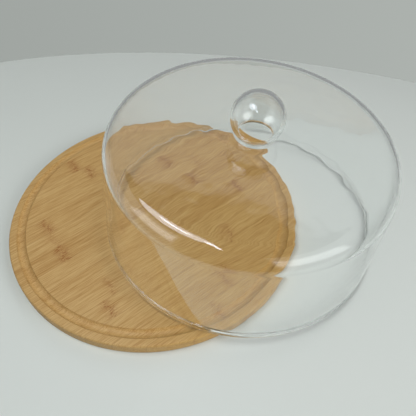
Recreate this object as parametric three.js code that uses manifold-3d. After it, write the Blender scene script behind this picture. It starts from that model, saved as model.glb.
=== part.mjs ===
// Cheese dome: a round bamboo serving board with a loose glass cover.
// The cover stands pushed off to one side: its rim rests on the board's edge at two points and on the
// table at a third, so it leans a little. Millimetres, +Z up. The origin is the middle of the board's
// underside and the staves run along X.

import * as THREE from 'three';
import { mergeVertices } from 'three/addons/utils/BufferGeometryUtils.js';
import Module from 'manifold-3d';

const wasm = await Module();
wasm.setup();

// ---- driving dimensions ----

// Board
const boardRadius = 150;
const boardThickness = 12;
const boardTopRound = 2;
const boardBottomRound = 1.5;
const boardSegments = 96;

// Ring groove in the board's top, which takes the cover's rim when the cover is put on
const grooveOuterRadius = 142.25;
const grooveInnerRadius = 132.75;
const grooveDepth = 3;

// Staves: one glue line is set, the others follow at a pitch of one stave
const staveWidth = 20.5;
const firstGlueLine = 3.5;
const narrowestStave = 6;

// Glass cover, in its own frame: rim at height 0, axis along Z
const rimRadius = 138.5;
const shoulderRadius = 134;
const wallHeight = 94;
const shoulderRound = 18.5;
const crownRise = 1.2;
const glassThickness = 2.6;
const lipRadius = 1.9;
const beadHeight = 7.6;
const coverSegments = 96;

// Ball knob: a hollow bulb on a short foot. Below its throat the inside widens like a funnel, which
// runs on into the cover's underside.
const bulbRadius = 24;
const bulbCentreHeight = 132.6;
const bulbWall = 3;
const footRound = 2;
const footEdgeDegrees = 20;
const throatRadius = 14;
const funnelRadius = 25;
const knobSegments = 40;
const fusedGap = 0.3;

// Where the cover stands: how far its axis is from the board's, in which direction, and its lean
const coverShift = 90.8;
const coverDirection = THREE.MathUtils.degToRad(-40.4);
const coverLean = THREE.MathUtils.degToRad(4.3);

const bambooColours = [0xcfa167, 0xc7985c, 0xd6ab72];
const glassColour = 0xdde5e2;

// ---- outlines ----

// Points on a circular arc in an outline, both ends included; angles in degrees from the outline's
// outward direction, rising anticlockwise.
function arc(centreR, centreH, radius, fromDegrees, toDegrees, steps) {
  const points = [];
  for (let i = 0; i <= steps; i += 1) {
    const angle = THREE.MathUtils.degToRad(fromDegrees + ((toDegrees - fromDegrees) * i) / steps);
    points.push(new THREE.Vector2(
      centreR + radius * Math.cos(angle),
      centreH + radius * Math.sin(angle),
    ));
  }
  return points;
}

// ---- solids ----

// A closed geometry as a manifold solid, facing outwards.
function solidFrom(geometry) {
  const bare = geometry.clone();
  bare.deleteAttribute('normal');
  bare.deleteAttribute('uv');
  const merged = mergeVertices(bare, 1e-4);
  const index = merged.index.array;
  const triangles = [];
  for (let i = 0; i < index.length; i += 3) {
    const [a, b, c] = [index[i], index[i + 1], index[i + 2]];
    if (a !== b && b !== c && c !== a) {
      triangles.push(a, b, c);
    }
  }
  return new wasm.Manifold(new wasm.Mesh({
    numProp: 3,
    vertProperties: new Float32Array(merged.attributes.position.array),
    triVerts: new Uint32Array(triangles),
  }));
}

// A manifold solid as a plain geometry.
function geometryFrom(solid) {
  const mesh = solid.getMesh();
  const geometry = new THREE.BufferGeometry();
  geometry.setAttribute('position', new THREE.BufferAttribute(mesh.vertProperties, 3));
  geometry.setIndex(new THREE.BufferAttribute(mesh.triVerts, 1));
  geometry.computeVertexNormals();
  return geometry;
}

// An outline of (radius, height) points turned about Z.
function turned(outline, segments) {
  return solidFrom(new THREE.LatheGeometry(outline, segments).rotateX(Math.PI / 2));
}

function namedMesh(name, geometry, colour, look) {
  const mesh = new THREE.Mesh(geometry, new THREE.MeshStandardMaterial({ color: colour, ...look }));
  mesh.name = name;
  return mesh;
}

// ---- board ----

// The whole board as one turned solid, with rounded edges and the ring groove.
function boardSolid() {
  const top = boardThickness;
  const halfGroove = (grooveOuterRadius - grooveInnerRadius) / 2;
  const grooveMiddle = grooveInnerRadius + halfGroove;
  const cutterRadius = (halfGroove ** 2 + grooveDepth ** 2) / (2 * grooveDepth);
  const cutterHeight = top - grooveDepth + cutterRadius;
  const grooveReach = THREE.MathUtils.radToDeg(Math.asin(halfGroove / cutterRadius));
  const outline = [
    new THREE.Vector2(0, 0),
    ...arc(boardRadius - boardBottomRound, boardBottomRound, boardBottomRound, -90, 0, 3),
    ...arc(boardRadius - boardTopRound, top - boardTopRound, boardTopRound, 0, 90, 3),
    ...arc(grooveMiddle, cutterHeight, cutterRadius, -90 + grooveReach, -90 - grooveReach, 6),
    new THREE.Vector2(0, top),
  ];
  return turned(outline, boardSegments);
}

// The edges of the staves across the board, from the lowest y to the highest.
function staveEdges() {
  const lines = [-boardRadius];
  const first = Math.ceil((-boardRadius + narrowestStave - firstGlueLine) / staveWidth);
  for (let i = first; firstGlueLine + i * staveWidth < boardRadius - narrowestStave; i += 1) {
    lines.push(firstGlueLine + i * staveWidth);
  }
  lines.push(boardRadius);
  return lines;
}

// The board cut along its glue lines into staves, which meet face to face.
function board() {
  const group = new THREE.Group();
  const whole = boardSolid();
  const edges = staveEdges();
  const margin = 5;
  for (let i = 0; i + 1 < edges.length; i += 1) {
    const low = i === 0 ? edges[i] - margin : edges[i];
    const high = i + 2 === edges.length ? edges[i + 1] + margin : edges[i + 1];
    const slab = new THREE.BoxGeometry(
      2 * (boardRadius + margin),
      high - low,
      boardThickness + 2 * margin,
    );
    slab.translate(0, (low + high) / 2, boardThickness / 2);
    group.add(namedMesh(
      `board_stave_${String(i + 1).padStart(2, '0')}`,
      geometryFrom(whole.intersect(solidFrom(slab))),
      bambooColours[i % bambooColours.length],
      { roughness: 0.55, metalness: 0 },
    ));
  }
  return group;
}

// ---- glass cover, in its own frame ----

// Height of the cover's outer face at a radius inside the shoulder: a very low crown.
function crownHeight(radius) {
  const flatRadius = shoulderRadius - shoulderRound;
  return wallHeight + shoulderRound + crownRise * (1 - (radius / flatRadius) ** 2);
}

function crownPoints(fromRadius, toRadius, drop, steps) {
  const points = [];
  for (let i = 0; i <= steps; i += 1) {
    const radius = fromRadius + ((toRadius - fromRadius) * i) / steps;
    points.push(new THREE.Vector2(radius, crownHeight(radius) - drop));
  }
  return points;
}

// Height of the throat, where the funnel opens into the bulb.
function throatHeight() {
  return bulbCentreHeight - Math.sqrt((bulbRadius - bulbWall) ** 2 - throatRadius ** 2);
}

// Height of the funnel's wide end, on the cover's underside.
function funnelBase() {
  return crownHeight(funnelRadius) - glassThickness;
}

// How far up the funnel a height is: 0 degrees at its wide end, 90 at the throat.
function funnelDegrees(height) {
  const part = (height - funnelBase()) / (throatHeight() - funnelBase());
  return THREE.MathUtils.radToDeg(Math.acos(1 - part));
}

// Points on the funnel's wall, a quarter of an ellipse.
function funnelPoints(fromDegrees, toDegrees, steps) {
  const points = [];
  for (let i = 0; i <= steps; i += 1) {
    const angle = THREE.MathUtils.degToRad(fromDegrees + ((toDegrees - fromDegrees) * i) / steps);
    points.push(new THREE.Vector2(
      funnelRadius - (funnelRadius - throatRadius) * Math.sin(angle),
      funnelBase() + (throatHeight() - funnelBase()) * (1 - Math.cos(angle)),
    ));
  }
  return points;
}

// The shell: beaded lip, slightly tapered wall, round shoulder and a nearly flat top with a hole
// under the knob.
function glassCover() {
  const flatRadius = shoulderRadius - shoulderRound;
  const hole = funnelPoints(funnelDegrees(funnelBase() + glassThickness), 0, 5);
  const outline = [
    ...arc(rimRadius - lipRadius, lipRadius, lipRadius, -180, 0, 6),
    ...arc(flatRadius, wallHeight, shoulderRound, 0, 90, 6),
    ...crownPoints(flatRadius, hole[0].x, 0, 3).slice(1),
    ...hole,
    ...crownPoints(funnelRadius, flatRadius, glassThickness, 3).slice(1, -1),
    ...arc(flatRadius, wallHeight, shoulderRound - glassThickness, 90, 0, 6),
    new THREE.Vector2(rimRadius - glassThickness, beadHeight),
  ];
  outline.push(outline[0].clone());
  return geometryFrom(turned(outline, coverSegments));
}

// The knob: a bulb on a foot that flares out to meet the cover's top. The foot's thin edge is
// squared off.
function ballKnob() {
  const footHeight = crownHeight(bulbRadius) + fusedGap;
  const riseToFlare = bulbCentreHeight - footHeight - footRound;
  const reach = bulbRadius + footRound;
  const flareRadius = Math.sqrt(reach ** 2 - riseToFlare ** 2);
  const meetDegrees = THREE.MathUtils.radToDeg(Math.asin(riseToFlare / reach));
  const cavityRadius = bulbRadius - bulbWall;
  const mouthDegrees = THREE.MathUtils.radToDeg(Math.acos(throatRadius / cavityRadius));
  const flare = arc(
    flareRadius,
    footHeight + footRound,
    footRound,
    270 - footEdgeDegrees,
    180 - meetDegrees,
    4,
  );
  const outline = [
    new THREE.Vector2(flare[0].x, footHeight),
    ...flare,
    ...arc(0, bulbCentreHeight, bulbRadius, -meetDegrees, 90, 12).slice(1),
    ...arc(0, bulbCentreHeight, cavityRadius, 90, -mouthDegrees, 12),
    ...funnelPoints(90, funnelDegrees(footHeight), 3).slice(1),
  ];
  outline.push(outline[0].clone());
  return geometryFrom(turned(outline, knobSegments));
}

// The cover and its knob, stood where they lean against the board.
function cover() {
  const look = { roughness: 0.05, metalness: 0, transparent: true, opacity: 0.35 };
  const leaning = new THREE.Group();
  leaning.add(namedMesh('glass_cover', glassCover(), glassColour, look));
  leaning.add(namedMesh('ball_knob', ballKnob(), glassColour, look));
  const lift = (rimRadius - lipRadius) * Math.sin(coverLean) + lipRadius * (1 - Math.cos(coverLean));
  leaning.rotation.y = coverLean;
  leaning.position.set(coverShift, 0, lift);
  const turnedAside = new THREE.Group();
  turnedAside.rotation.z = coverDirection;
  turnedAside.add(leaning);
  return turnedAside;
}

const cheeseDome = new THREE.Group();
cheeseDome.name = 'cheese_dome';
cheeseDome.add(board(), cover());

export default cheeseDome;
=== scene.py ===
"""A cheese dome: a round bamboo serving board and a blown glass cover that leans on the board's edge.

Metres, +Z up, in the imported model's frame: the origin is the middle of the board's underside and the
staves run along X.
"""

import math

import bmesh
import bpy
from mathutils import Matrix, Quaternion, Vector, noise


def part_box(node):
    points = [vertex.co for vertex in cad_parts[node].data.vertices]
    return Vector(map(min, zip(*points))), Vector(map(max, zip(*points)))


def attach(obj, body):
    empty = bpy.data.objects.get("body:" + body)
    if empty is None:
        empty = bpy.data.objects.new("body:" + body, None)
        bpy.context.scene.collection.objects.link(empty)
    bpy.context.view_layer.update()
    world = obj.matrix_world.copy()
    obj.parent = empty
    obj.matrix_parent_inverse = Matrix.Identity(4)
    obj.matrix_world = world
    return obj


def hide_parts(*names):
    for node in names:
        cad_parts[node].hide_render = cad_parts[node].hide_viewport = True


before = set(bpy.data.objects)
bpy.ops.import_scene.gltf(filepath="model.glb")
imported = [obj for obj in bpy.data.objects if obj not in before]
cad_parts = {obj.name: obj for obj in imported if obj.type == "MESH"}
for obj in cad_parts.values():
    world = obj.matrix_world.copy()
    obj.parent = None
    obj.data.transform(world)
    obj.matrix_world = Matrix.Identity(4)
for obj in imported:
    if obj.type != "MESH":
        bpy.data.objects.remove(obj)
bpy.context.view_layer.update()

MM = 0.001

# ---- board ----
BOARD_RADIUS = 150 * MM
BOARD_THICKNESS = 12 * MM
BOARD_TOP_ROUND = 2 * MM
BOARD_BOTTOM_ROUND = 1.5 * MM
GROOVE_OUTER = 142.25 * MM
GROOVE_INNER = 132.75 * MM
GROOVE_DEPTH = 3 * MM
BOARD_SEGMENTS = 288
STAVE_COUNT = 15

# ---- glass cover, in its own frame: rim at height 0, axis along Z ----
RIM_RADIUS = 138.5 * MM
SHOULDER_RADIUS = 134 * MM
WALL_HEIGHT = 94 * MM
SHOULDER_ROUND = 18.5 * MM
CROWN_RISE = 1.2 * MM
GLASS = 2.6 * MM
LIP_RADIUS = 1.9 * MM
BEAD_HEIGHT = 7.6 * MM
BULB_RADIUS = 24 * MM
BULB_CENTRE = 132.6 * MM
BULB_WALL = 3 * MM
FOOT_ROUND = 2 * MM
THROAT_RADIUS = 14 * MM
FUNNEL_RADIUS = 25 * MM
THROAT_ROUND = 4 * MM
COVER_SEGMENTS = 320
# Waves in the glass's thickness: (length, height on the top, height on the wall)
RIPPLES = ((34 * MM, 0.08 * MM, 0.08 * MM), (9.5 * MM, 0.11 * MM, 0.022 * MM))

RIPPLE_SEED = Vector((0.6, 0.15, 0.3))
CALM_BELOW = 3 * MM
RIPPLES_GROW_OVER = 8 * MM

# ---- where the cover stands ----
COVER_SHIFT = 90.8 * MM
COVER_DIRECTION = math.radians(-40.4)
COVER_LEAN = math.radians(4.3)


# ---- outlines ----
def arc(centre_r, centre_h, radius, from_deg, to_deg, steps):
    """Points (radius, height) on a circular arc, both ends included."""
    points = []
    for i in range(steps + 1):
        a = math.radians(from_deg + (to_deg - from_deg) * i / steps)
        points.append((centre_r + radius * math.cos(a), centre_h + radius * math.sin(a)))
    return points


def line(start, end, steps):
    """Points between two outline points, both ends left out."""
    return [
        tuple(start[k] + (end[k] - start[k]) * i / steps for k in range(2)) for i in range(1, steps)
    ]


def bend(start, corner, end, steps):
    """Points on a rounded corner between two outline points, both ends left out."""
    points = []
    for i in range(1, steps):
        t = i / steps
        weights = ((1 - t) ** 2, 2 * t * (1 - t), t ** 2)
        points.append(
            tuple(sum(w * p[k] for w, p in zip(weights, (start, corner, end))) for k in range(2))
        )
    return points


def turned(outline, segments):
    """A bmesh of an outline turned about Z. Outline points at radius 0 become poles."""
    bm = bmesh.new()
    rings = []
    for r, h in outline:
        if r < 1e-7:
            rings.append([bm.verts.new((0, 0, h))])
            continue
        ring = []
        for i in range(segments):
            a = 2 * math.pi * i / segments
            ring.append(bm.verts.new((r * math.cos(a), r * math.sin(a), h)))
        rings.append(ring)
    for low, high in zip(rings, rings[1:]):
        for i in range(segments):
            j = (i + 1) % segments
            corners = []
            for v in (low[i % len(low)], low[j % len(low)], high[j % len(high)], high[i % len(high)]):
                if v not in corners:
                    corners.append(v)
            bm.faces.new(corners)
    bmesh.ops.recalc_face_normals(bm, faces=bm.faces)
    return bm


def make_object(name, bm, material, sharp_degrees):
    mesh = bpy.data.meshes.new(name)
    bm.to_mesh(mesh)
    bm.free()
    mesh.shade_smooth()
    mesh.set_sharp_from_angle(angle=math.radians(sharp_degrees))
    obj = bpy.data.objects.new(name, mesh)
    mesh.materials.append(material)
    bpy.context.scene.collection.objects.link(obj)
    return obj


# ---- node helpers ----
class Nodes:
    """Short calls for building one node tree."""

    def __init__(self, tree):
        self.tree = tree
        tree.nodes.clear()

    def add(self, kind, **values):
        node = self.tree.nodes.new(kind)
        for key, value in values.items():
            setattr(node, key, value)
        return node

    def put(self, socket, value):
        if isinstance(value, bpy.types.NodeSocket):
            self.tree.links.new(value, socket)
        else:
            socket.default_value = value

    def math(self, operation, a, b=0.0, c=0.0, clamp=False):
        node = self.add("ShaderNodeMath", operation=operation, use_clamp=clamp)
        for socket, value in zip(node.inputs, (a, b, c)):
            self.put(socket, value)
        return node.outputs[0]

    def smooth(self, value, low, high):
        """0 below low, 1 above high, smooth between."""
        node = self.add("ShaderNodeMapRange", interpolation_type="SMOOTHSTEP")
        self.put(node.inputs["Value"], value)
        self.put(node.inputs["From Min"], low)
        self.put(node.inputs["From Max"], high)
        return node.outputs["Result"]

    def bell(self, value, width):
        """1 where value is 0, fading both ways over about width."""
        part = self.math("DIVIDE", value, width)
        return self.math("EXPONENT", self.math("MULTIPLY", self.math("MULTIPLY", part, part), -1.0))

    def ramp(self, value, low, high, out_low, out_high):
        """out_low below low, out_high above high, straight between."""
        node = self.add("ShaderNodeMapRange", clamp=True)
        for key, v in (
            ("Value", value),
            ("From Min", low),
            ("From Max", high),
            ("To Min", out_low),
            ("To Max", out_high),
        ):
            self.put(node.inputs[key], v)
        return node.outputs["Result"]

    def mix(self, factor, a, b, blend="MIX"):
        node = self.add("ShaderNodeMix", data_type="RGBA", blend_type=blend)
        self.put(node.inputs[0], factor)
        self.put(node.inputs[6], a)
        self.put(node.inputs[7], b)
        return node.outputs[2]

    def scaled(self, vector, scale, offset=(0, 0, 0)):
        node = self.add("ShaderNodeMapping")
        self.put(node.inputs["Vector"], vector)
        node.inputs["Scale"].default_value = scale
        node.inputs["Location"].default_value = offset
        return node.outputs["Vector"]

    def noise(self, vector, scale, detail=2.0, roughness=0.5, distortion=0.0):
        node = self.add("ShaderNodeTexNoise")
        self.put(node.inputs["Vector"], vector)
        for key, v in (
            ("Scale", scale),
            ("Detail", detail),
            ("Roughness", roughness),
            ("Distortion", distortion),
        ):
            node.inputs[key].default_value = v
        return node.outputs["Fac"]


def linear(r, g, b):
    """A linear colour from 0-255 display values."""
    def one(v):
        v /= 255
        return v / 12.92 if v <= 0.04045 else ((v + 0.055) / 1.055) ** 2.4
    return (one(r), one(g), one(b), 1.0)


# ---- bamboo ----
BAMBOO_BASE = linear(194, 155, 96)
BAMBOO_DARK = linear(170, 126, 66)
BAMBOO_LIGHT = linear(208, 173, 116)
KNUCKLE_BROWN = linear(150, 94, 42)
GLUE_BROWN = linear(146, 105, 56)
# Painted shade of the missing sheen: the side of the board under the glass shows no sheen, so it is
# painted deeper and more golden; what that side's colour is multiplied by, and which way it lies
NO_SHEEN_SHADE = (0.96, 0.925, 0.80, 1)
NO_SHEEN_SIDE = Vector((0.78, -0.62, 0.0))

KNUCKLE_CORE = 1.3 * MM
KNUCKLE_HALO = 6 * MM
KNUCKLE_WOBBLE = 14 * MM
GLUE_LINE = 0.45 * MM
GRAIN_HEIGHT = 0.12 * MM
# Where the painted shade of the missing sheen begins and where it is full, across the board
NO_SHEEN_FROM = -30 * MM
NO_SHEEN_TO = 70 * MM

# The wood's patterns: scale along and across the staves, detail, roughness and distortion
PATTERNS = {
    "fibre": ((26, 640, 640), 3.0, 0.75, 0.0),
    "hair": ((40, 1500, 1500), 2.0, 0.6, 0.0),
    "streak": ((7, 190, 190), 3.0, 0.55, 0.5),
    "cloud": ((6, 45, 45), 2.0, 0.5, 0.4),
    "pores": ((110, 1500, 1500), 2.0, 0.6, 0.0),
}
# How much each pattern says in the wood's shade, what they add up to on average, and the contrast
SHADE_PARTS = (("fibre", 0.75), ("streak", 0.22), ("cloud", 0.24), ("hair", 1.15))
SHADE_MIDDLE = 1.18
SHADE_CONTRAST = 3.6

# One entry per stave, lowest y first: tone, and the knuckle bands that cross it as (x, strength), mm.
# The tone differs from stave to stave. The first staves, along the near edge, are also toned lighter
# as painted light, for the brighter near rim.
STAVES = [
    (0.09, []),
    (0.06, [(-18, 0.5)]),
    (0.05, [(9, 0.6)]),
    (0.05, []),
    (0.07, [(-96, 0.8), (44, 0.7)]),
    (0.07, [(-83, 0.5)]),
    (0.00, [(93, 1.0)]),
    (0.06, []),
    (-0.04, [(-101, 1.2), (61.5, 1.1)]),
    (0.05, [(-100, 0.4), (82, 0.4)]),
    (-0.03, [(-98, 0.9), (53.5, 1.0)]),
    (0.05, []),
    (0.03, [(-23, 1.0)]),
    (0.01, [(-33.5, 1.1)]),
    (0.03, []),
]


def bamboo_material(index, low_y, high_y):
    tone, knuckles = STAVES[index]
    material = bpy.data.materials.new(f"bamboo_{index + 1:02d}")
    material.use_nodes = True
    n = Nodes(material.node_tree)
    place = n.add("ShaderNodeTexCoord").outputs["Object"]
    axes = n.add("ShaderNodeSeparateXYZ")
    n.put(axes.inputs[0], place)
    x, y = axes.outputs[0], axes.outputs[1]
    seed = (index * 1.7, index * 3.1, index * 0.9)

    pattern = {
        name: n.noise(n.scaled(place, scale, seed), 1.0, *look)
        for name, (scale, *look) in PATTERNS.items()
    }
    dash = n.smooth(pattern["pores"], 0.54, 0.68)

    shade = 0.0
    for name, weight in SHADE_PARTS:
        shade = n.math("ADD", n.math("MULTIPLY", pattern[name], weight), shade)
    shade = n.math("ADD", shade, -SHADE_MIDDLE - tone)
    darker = n.math("MULTIPLY", shade, SHADE_CONTRAST, clamp=True)
    lighter = n.math("MULTIPLY", shade, -SHADE_CONTRAST, clamp=True)
    colour = n.mix(darker, BAMBOO_BASE, BAMBOO_DARK)
    colour = n.mix(lighter, colour, BAMBOO_LIGHT)
    colour = n.mix(n.math("MULTIPLY", dash, 0.30), colour, BAMBOO_DARK)

    # Painted shade of the missing sheen: the side under the glass is made deeper and more golden
    across = n.add("ShaderNodeVectorMath", operation="DOT_PRODUCT")
    n.put(across.inputs[0], place)
    across.inputs[1].default_value = NO_SHEEN_SIDE
    no_sheen = n.smooth(across.outputs["Value"], NO_SHEEN_FROM, NO_SHEEN_TO)
    colour = n.mix(no_sheen, colour, n.mix(1.0, colour, NO_SHEEN_SHADE, "MULTIPLY"))

    bump_height = n.math("SUBTRACT", pattern["fibre"], n.math("MULTIPLY", dash, 0.5))
    for at, strength in knuckles:
        wobble = n.noise(n.scaled(place, (30, 170, 170), (at * 0.1, index, 0)), 1.0, 3.0, 0.6)
        speck = n.noise(n.scaled(place, (300, 1100, 1100), (at * 0.3, index, 5)), 1.0, 3.0, 0.75)
        off = n.math("SUBTRACT", x, at * MM)
        off = n.math(
            "ADD", off, n.math("MULTIPLY", n.math("SUBTRACT", wobble, 0.5), KNUCKLE_WOBBLE)
        )
        core = n.bell(off, KNUCKLE_CORE)
        halo = n.bell(off, KNUCKLE_HALO)
        mask = n.math(
            "ADD",
            n.math("MULTIPLY", core, 0.3 * strength),
            n.math("MULTIPLY", halo, 0.6 * strength),
        )
        mask = n.math("MULTIPLY", mask, n.ramp(speck, 0.42, 0.60, 0.05, 1.35))
        colour = n.mix(n.math("MULTIPLY", mask, 1.0, clamp=True), colour, KNUCKLE_BROWN)
        bump_height = n.math("SUBTRACT", bump_height, n.math("MULTIPLY", core, 0.6))

    edge = n.math("MINIMUM", n.math("SUBTRACT", y, low_y), n.math("SUBTRACT", high_y, y))
    glue = n.math("SUBTRACT", 1.0, n.smooth(edge, 0.0, GLUE_LINE))
    colour = n.mix(n.math("MULTIPLY", glue, 0.35), colour, GLUE_BROWN)

    bump = n.add("ShaderNodeBump")
    bump.inputs["Strength"].default_value = 0.35
    bump.inputs["Distance"].default_value = GRAIN_HEIGHT
    n.put(bump.inputs["Height"], bump_height)

    shader = n.add("ShaderNodeBsdfPrincipled")
    n.put(shader.inputs["Base Color"], colour)
    n.put(shader.inputs["Roughness"], n.ramp(pattern["streak"], 0.3, 0.7, 0.48, 0.60))
    n.put(shader.inputs["Normal"], bump.outputs[0])
    shader.inputs["IOR"].default_value = 1.45
    n.put(n.add("ShaderNodeOutputMaterial").inputs["Surface"], shader.outputs[0])
    return material


def board_outline():
    """The board's section, from the middle of the underside round to the middle of the top."""
    top = BOARD_THICKNESS
    half = (GROOVE_OUTER - GROOVE_INNER) / 2
    middle = GROOVE_INNER + half
    cutter = (half ** 2 + GROOVE_DEPTH ** 2) / (2 * GROOVE_DEPTH)
    centre = top - GROOVE_DEPTH + cutter
    reach = math.degrees(math.asin(half / cutter))
    groove = arc(middle, centre, cutter, -90 + reach, -90 - reach, 14)
    return [
        (0.0, 0.0),
        *arc(BOARD_RADIUS - BOARD_BOTTOM_ROUND, BOARD_BOTTOM_ROUND, BOARD_BOTTOM_ROUND, -90, 0, 6),
        *arc(BOARD_RADIUS - BOARD_TOP_ROUND, top - BOARD_TOP_ROUND, BOARD_TOP_ROUND, 0, 90, 8),
        *groove,
        (0.0, top),
    ]


def cut_off(bm, y, keep_above):
    """Removes what is on one side of the plane at y, and closes the cut."""
    cut = bmesh.ops.bisect_plane(
        bm,
        geom=bm.verts[:] + bm.edges[:] + bm.faces[:],
        dist=1e-7,
        plane_co=(0, y, 0),
        plane_no=(0, 1, 0),
        clear_inner=keep_above,
        clear_outer=not keep_above,
    )
    edges = [g for g in cut["geom_cut"] if isinstance(g, bmesh.types.BMEdge)]
    bmesh.ops.contextual_create(bm, geom=edges)


def build_board():
    whole = turned(board_outline(), BOARD_SEGMENTS)
    for index in range(STAVE_COUNT):
        node = f"board_stave_{index + 1:02d}"
        low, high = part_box(node)
        bm = whole.copy()
        if index > 0:
            cut_off(bm, low.y, True)
        if index < STAVE_COUNT - 1:
            cut_off(bm, high.y, False)
        bmesh.ops.recalc_face_normals(bm, faces=bm.faces)
        piece = make_object(
            f"stave_{index + 1:02d}", bm, bamboo_material(index, low.y, high.y), 35
        )
        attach(piece, "board")
        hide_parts(node)
    whole.free()


# ---- glass ----
def crown_height(radius):
    flat = SHOULDER_RADIUS - SHOULDER_ROUND
    return WALL_HEIGHT + SHOULDER_ROUND + CROWN_RISE * (1 - (radius / flat) ** 2)


def crown(from_radius, to_radius, drop, steps):
    points = []
    for i in range(steps + 1):
        radius = from_radius + (to_radius - from_radius) * i / steps
        points.append((radius, crown_height(radius) - drop))
    return points


def cover_outline():
    """The cover's section, from the bulb's outer pole down the outside and back up the inside."""
    foot_base = crown_height(BULB_RADIUS)
    rise = BULB_CENTRE - foot_base - FOOT_ROUND
    reach = BULB_RADIUS + FOOT_ROUND
    flare = math.sqrt(reach ** 2 - rise ** 2)
    meet = math.degrees(math.asin(rise / reach))
    flat = SHOULDER_RADIUS - SHOULDER_ROUND
    lip = LIP_RADIUS
    cavity = BULB_RADIUS - BULB_WALL
    outside = [
        *arc(0, BULB_CENTRE, BULB_RADIUS, 90, -meet, 36),
        *arc(flare, foot_base + FOOT_ROUND, FOOT_ROUND, 180 - meet, 270, 12)[1:],
        *crown(flare, flat, 0, 16)[1:],
        *arc(flat, WALL_HEIGHT, SHOULDER_ROUND, 90, 0, 22)[1:],
        *line((SHOULDER_RADIUS, WALL_HEIGHT), (RIM_RADIUS, lip), 12),
        *arc(RIM_RADIUS - lip, lip, lip, 0, -180, 14),
    ]
    mouth_h = crown_height(FUNNEL_RADIUS) - GLASS
    neck_h = BULB_CENTRE - math.sqrt(cavity ** 2 - THROAT_RADIUS ** 2)
    narrowing = FUNNEL_RADIUS - THROAT_RADIUS
    funnel = [
        (FUNNEL_RADIUS + r * narrowing, mouth_h + (1 + h) * (neck_h - mouth_h))
        for r, h in arc(0, 0, 1, -90, -180, 24)[1:]
    ]
    throat = (THROAT_RADIUS, neck_h)
    bulb = arc(0, BULB_CENTRE, cavity, -math.degrees(math.acos(THROAT_RADIUS / cavity)), 90, 60)
    funnel = [p for p in funnel if math.dist(p, throat) > THROAT_ROUND]
    bulb = [p for p in bulb if math.dist(p, throat) > THROAT_ROUND]
    inner_wall = SHOULDER_RADIUS - GLASS
    inside = [
        *line((RIM_RADIUS - 2 * lip, lip), (RIM_RADIUS - GLASS, BEAD_HEIGHT), 6),
        *line((RIM_RADIUS - GLASS, BEAD_HEIGHT), (inner_wall, WALL_HEIGHT), 44),
        *arc(flat, WALL_HEIGHT, SHOULDER_ROUND - GLASS, 0, 90, 18),
        *crown(flat, FUNNEL_RADIUS, GLASS, 50)[1:],
        *funnel,
        *bend(funnel[-1], throat, bulb[0], 8),
        *bulb,
    ]
    points = outside + inside
    return [(0.0 if r < 1e-7 else r, h) for r, h in points], len(outside)


CLEAR = (0.99, 0.992, 0.99, 1)
LIP_SHADE = (0.30, 0.31, 0.31, 1)
# Heights above the rim between which the lip's shade gives way to clear glass
LIP_FADE = (1 * MM, 5.5 * MM)


def glass_material():
    material = bpy.data.materials.new("clear_glass")
    material.use_nodes = True
    n = Nodes(material.node_tree)
    glass = n.add("ShaderNodeBsdfPrincipled")
    glass.inputs["Base Color"].default_value = (0.985, 0.995, 0.99, 1)
    glass.inputs["Roughness"].default_value = 0.0
    glass.inputs["IOR"].default_value = 1.52
    glass.inputs["Transmission Weight"].default_value = 1.0
    path = n.add("ShaderNodeLightPath")
    # Lamps and bounced light pass straight through: the thick lip lets less of them by.
    axis = (cover_matrix().to_3x3() @ Vector((0, 0, 1))).normalized()
    height = n.add("ShaderNodeVectorMath", operation="DOT_PRODUCT")
    n.put(height.inputs[0], n.add("ShaderNodeTexCoord").outputs["Object"])
    height.inputs[1].default_value = axis
    rim_height = cover_matrix().translation.dot(axis)
    above_rim = n.math("SUBTRACT", height.outputs["Value"], rim_height)
    clear = n.add("ShaderNodeBsdfTransparent")
    n.put(clear.inputs["Color"], n.mix(n.smooth(above_rim, *LIP_FADE), LIP_SHADE, CLEAR))
    for_diffuse = n.add("ShaderNodeMixShader")
    n.put(for_diffuse.inputs[0], path.outputs["Is Diffuse Ray"])
    n.put(for_diffuse.inputs[1], glass.outputs[0])
    n.put(for_diffuse.inputs[2], clear.outputs[0])
    for_lamps = n.add("ShaderNodeMixShader")
    n.put(for_lamps.inputs[0], path.outputs["Is Shadow Ray"])
    n.put(for_lamps.inputs[1], for_diffuse.outputs[0])
    n.put(for_lamps.inputs[2], clear.outputs[0])
    n.put(n.add("ShaderNodeOutputMaterial").inputs["Surface"], for_lamps.outputs[0])
    return material


def cover_matrix():
    lip = LIP_RADIUS
    lip_height = (RIM_RADIUS - lip) * math.sin(COVER_LEAN) + lip * (1 - math.cos(COVER_LEAN))
    return (
        Matrix.Rotation(COVER_DIRECTION, 4, "Z")
        @ Matrix.Translation((COVER_SHIFT, 0, lip_height))
        @ Matrix.Rotation(COVER_LEAN, 4, "Y")
    )


def ripple(bm, first_inner):
    """Thick and thin places of hand-blown glass: the inside moves a little along its normal."""
    bm.normal_update()
    bm.verts.ensure_lookup_table()
    for v in bm.verts:
        if v.index < first_inner:
            continue
        fade = min(1.0, max(0.0, (v.co.z - CALM_BELOW) / RIPPLES_GROW_OVER))
        on_top = min(1.0, max(0.0, (v.co.z - WALL_HEIGHT) / SHOULDER_ROUND))
        wave = 0.0
        for size, top, wall in RIPPLES:
            height = wall + (top - wall) * on_top
            wave += height * noise.noise(v.co / size + RIPPLE_SEED)
        v.co += v.normal * (wave * fade)


def build_cover():
    outline, outside = cover_outline()
    bm = turned(outline, COVER_SEGMENTS)
    ripple(bm, 1 + (outside - 1) * COVER_SEGMENTS)
    bm.transform(cover_matrix())
    bm.normal_update()
    piece = make_object("glass_cover_and_knob", bm, glass_material(), 60)
    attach(piece, "cover")
    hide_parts("glass_cover", "ball_knob")


# ---- stage ----
WALL_GREY = linear(163, 168, 164)
FILL_COLOUR = (0.97, 1.0, 0.98, 1)
FILL_LEVEL = 0.07
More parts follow.
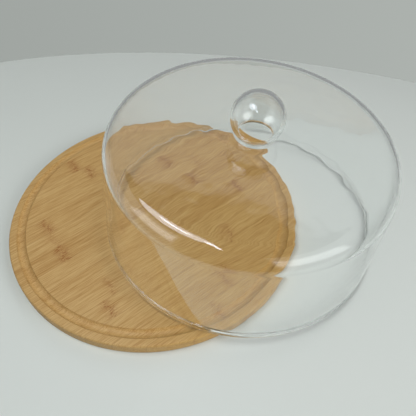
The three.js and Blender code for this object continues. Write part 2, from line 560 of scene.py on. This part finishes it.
# What the glass mirrors of the room: azimuth and elevation in degrees, each as from, to and softness,
# and strength. Azimuth is measured from -X, so that no patch crosses the jump at half a turn.
SIDE_WALL = ((-75, -30, 6), (-90, 22, 4), 0.6)
LEFT_PATCH = ((-33, 3, 3), (10, 38, 6), 1.9)
DARK_GAP = ((3, 71, 2), (-90, 50, 3), 0.9)
RIGHT_PATCH = ((71, 118, 3), (4, 32, 5), 2.0)
MIRRORED_COLOUR = (0.97, 1.0, 1.0, 1)
TABLE_CENTRE = (60.8 * MM, -85.0 * MM)
TABLE_LONG = 611 * MM
TABLE_SHORT = 340 * MM
TABLE_SHORT_AXIS = math.radians(38.9)
TABLE_THICKNESS = 18 * MM
# The table top's rounded edge, from the top down: inset and drop
TABLE_EDGE = ((0.003, 0.0), (0.001, 0.001), (0.0, 0.003), (0.0, TABLE_THICKNESS))
TABLE_SEGMENTS = 256


def build_table():
    """The pale oval table top that the object stands on."""
    bm = bmesh.new()
    turn = Matrix.Rotation(TABLE_SHORT_AXIS, 2)
    rings = []
    for inset, drop in TABLE_EDGE:
        ring = []
        for i in range(TABLE_SEGMENTS):
            a = 2 * math.pi * i / TABLE_SEGMENTS
            flat = turn @ Vector(
                ((TABLE_SHORT - inset) * math.cos(a), (TABLE_LONG - inset) * math.sin(a))
            )
            ring.append(bm.verts.new((TABLE_CENTRE[0] + flat.x, TABLE_CENTRE[1] + flat.y, -drop)))
        rings.append(ring)
    bm.faces.new(rings[0])
    for upper, lower in zip(rings, rings[1:]):
        for i in range(TABLE_SEGMENTS):
            j = (i + 1) % TABLE_SEGMENTS
            bm.faces.new((upper[i], lower[i], lower[j], upper[j]))
    bm.faces.new(list(reversed(rings[-1])))
    bmesh.ops.recalc_face_normals(bm, faces=bm.faces)
    material = bpy.data.materials.new("table_white")
    material.use_nodes = True
    n = Nodes(material.node_tree)
    shader = n.add("ShaderNodeBsdfPrincipled")
    shader.inputs["Base Color"].default_value = linear(222, 227, 223)
    shader.inputs["Roughness"].default_value = 0.6
    n.put(n.add("ShaderNodeOutputMaterial").inputs["Surface"], shader.outputs[0])
    make_object("table", bm, material, 40)


def build_world():
    """A plain grey room. What the glass mirrors of it has bright patches and a dark gap."""
    world = bpy.data.worlds.new("room")
    bpy.context.scene.world = world
    world.use_nodes = True
    n = Nodes(world.node_tree)
    direction = n.add("ShaderNodeSeparateXYZ")
    n.put(direction.inputs[0], n.add("ShaderNodeTexCoord").outputs["Generated"])
    x, y, z = direction.outputs
    azimuth = n.math("ARCTAN2", n.math("MULTIPLY", y, -1.0), n.math("MULTIPLY", x, -1.0))
    azimuth = n.math("DEGREES", azimuth)
    elevation = n.math("DEGREES", n.math("ARCSINE", z))

    def band(value, low, high, soft):
        up = n.smooth(value, low - soft, low + soft)
        down = n.smooth(value, high - soft, high + soft)
        return n.math("MULTIPLY", up, n.math("SUBTRACT", 1.0, down))

    def patch(area):
        across, upward, strength = area
        inside = n.math("MULTIPLY", band(azimuth, *across), band(elevation, *upward))
        return n.math("MULTIPLY", inside, strength)

    level = n.ramp(elevation, 12, 34, 0.30, 0.66)
    level = n.math("MULTIPLY", level, n.ramp(elevation, 48.3, 50.3, 1.0, 0.05))
    level = n.math("ADD", level, patch(SIDE_WALL))
    level = n.math("ADD", level, patch(LEFT_PATCH))
    level = n.math("MULTIPLY", level, n.math("SUBTRACT", 1.0, patch(DARK_GAP)))
    level = n.math("ADD", level, patch(RIGHT_PATCH))

    def background(colour, strength):
        node = n.add("ShaderNodeBackground")
        node.inputs["Color"].default_value = colour
        n.put(node.inputs["Strength"], strength)
        return node.outputs[0]

    def pick(factor, a, b):
        node = n.add("ShaderNodeMixShader")
        for socket, value in zip(node.inputs, (factor, a, b)):
            n.put(socket, value)
        return node.outputs[0]

    path = n.add("ShaderNodeLightPath")
    wall_level = n.math(
        "MULTIPLY", n.ramp(azimuth, -170, -90, 1.18, 0.93), n.ramp(elevation, 40, 50, 1.0, 0.1)
    )
    wall = background(WALL_GREY, wall_level)
    fill = background(FILL_COLOUR, FILL_LEVEL)
    mirrored = background(MIRRORED_COLOUR, level)
    straight = n.math("MAXIMUM", path.outputs["Is Camera Ray"], path.outputs["Is Transmission Ray"])
    straight = n.math("MAXIMUM", straight, path.outputs["Is Glossy Ray"])
    reflected = n.math("GREATER_THAN", path.outputs["Glossy Depth"], 0.5)
    shown = pick(straight, fill, pick(reflected, wall, mirrored))
    n.put(n.add("ShaderNodeOutputWorld").inputs["Surface"], shown)


def area_light(name, place, target, size, power, colour=(1, 1, 1), turn=0.0):
    """An elliptical lamp at place, aimed at target; turn is about its own axis, in degrees."""
    data = bpy.data.lights.new(name, "AREA")
    data.shape = "ELLIPSE"
    data.size, data.size_y = size
    data.energy = power
    data.color = colour
    light = bpy.data.objects.new(name, data)
    light.location = place
    aim = (Vector(target) - Vector(place)).to_track_quat("-Z", "Y")
    light.rotation_mode = "QUATERNION"
    light.rotation_quaternion = aim @ Quaternion((0, 0, 1), math.radians(turn))
    light.visible_camera = False
    bpy.context.scene.collection.objects.link(light)
    return light


def ceiling_light(name, place, size, power, colour, turn=0.0):
    """A lamp that faces straight down."""
    return area_light(name, place, (place[0], place[1], 0.0), size, power, colour, turn)


CEILING_WHITE = (0.97, 1.0, 0.99)
MIRRORED_WHITE = (0.82, 0.88, 1.0)


def build_lights():
    """Lamps that light the scene, and ceiling lamps that only show in the glass."""
    lamps = [
        ceiling_light("ceiling_panel", (-0.38, 0.14, 1.5), (0.72, 1.30), 12.3, CEILING_WHITE),
        area_light("side_window", (0.5, -1.9, 0.9), (0.1, -0.1, 0.0), (1.6, 1.2), 25.5),
        area_light("far_window", (1.6, 1.0, 1.4), (0.1, 0.0, 0.0), (1.4, 1.2), 7.5),
    ]
    for light in lamps:
        light.visible_glossy = False
        light.visible_transmission = False
    mirrored = [
        ceiling_light("mirrored_panel", (-0.43, 0.26, 1.47), (0.70, 1.02), 7.2, MIRRORED_WHITE),
        ceiling_light("mirrored_core", (-0.34, 0.20, 1.45), (0.12, 0.44), 1.0, MIRRORED_WHITE, -8),
        ceiling_light("mirrored_tail", (-0.46, -0.37, 1.45), (0.09, 0.50), 1.1, MIRRORED_WHITE, -35),
    ]
    for light in mirrored:
        light.visible_diffuse = False


CAMERA_PLACE = Vector((-0.1506, -0.2835, 0.3989))
CAMERA_TARGET = Vector((0.0549, -0.0235, 0.0))
CAMERA_ROLL = math.radians(-0.477)
CAMERA_LENS = 40.53
SENSOR_WIDTH = 36


def build_camera():
    data = bpy.data.cameras.new("camera")
    data.sensor_width = SENSOR_WIDTH
    data.lens = CAMERA_LENS
    camera = bpy.data.objects.new("camera", data)
    bpy.context.scene.collection.objects.link(camera)
    aim = (CAMERA_TARGET - CAMERA_PLACE).to_track_quat("-Z", "Y").to_matrix().to_4x4()
    roll = Matrix.Rotation(CAMERA_ROLL, 4, "Z")
    camera.matrix_world = Matrix.Translation(CAMERA_PLACE) @ aim @ roll
    bpy.context.scene.camera = camera


build_camera()
build_board()
build_cover()
build_table()
build_world()
build_lights()
bpy.context.scene.view_settings.view_transform = "Standard"
cycles = bpy.context.scene.cycles
cycles.max_bounces = 24
cycles.glossy_bounces = 16
cycles.transmission_bounces = 24
cycles.transparent_max_bounces = 24
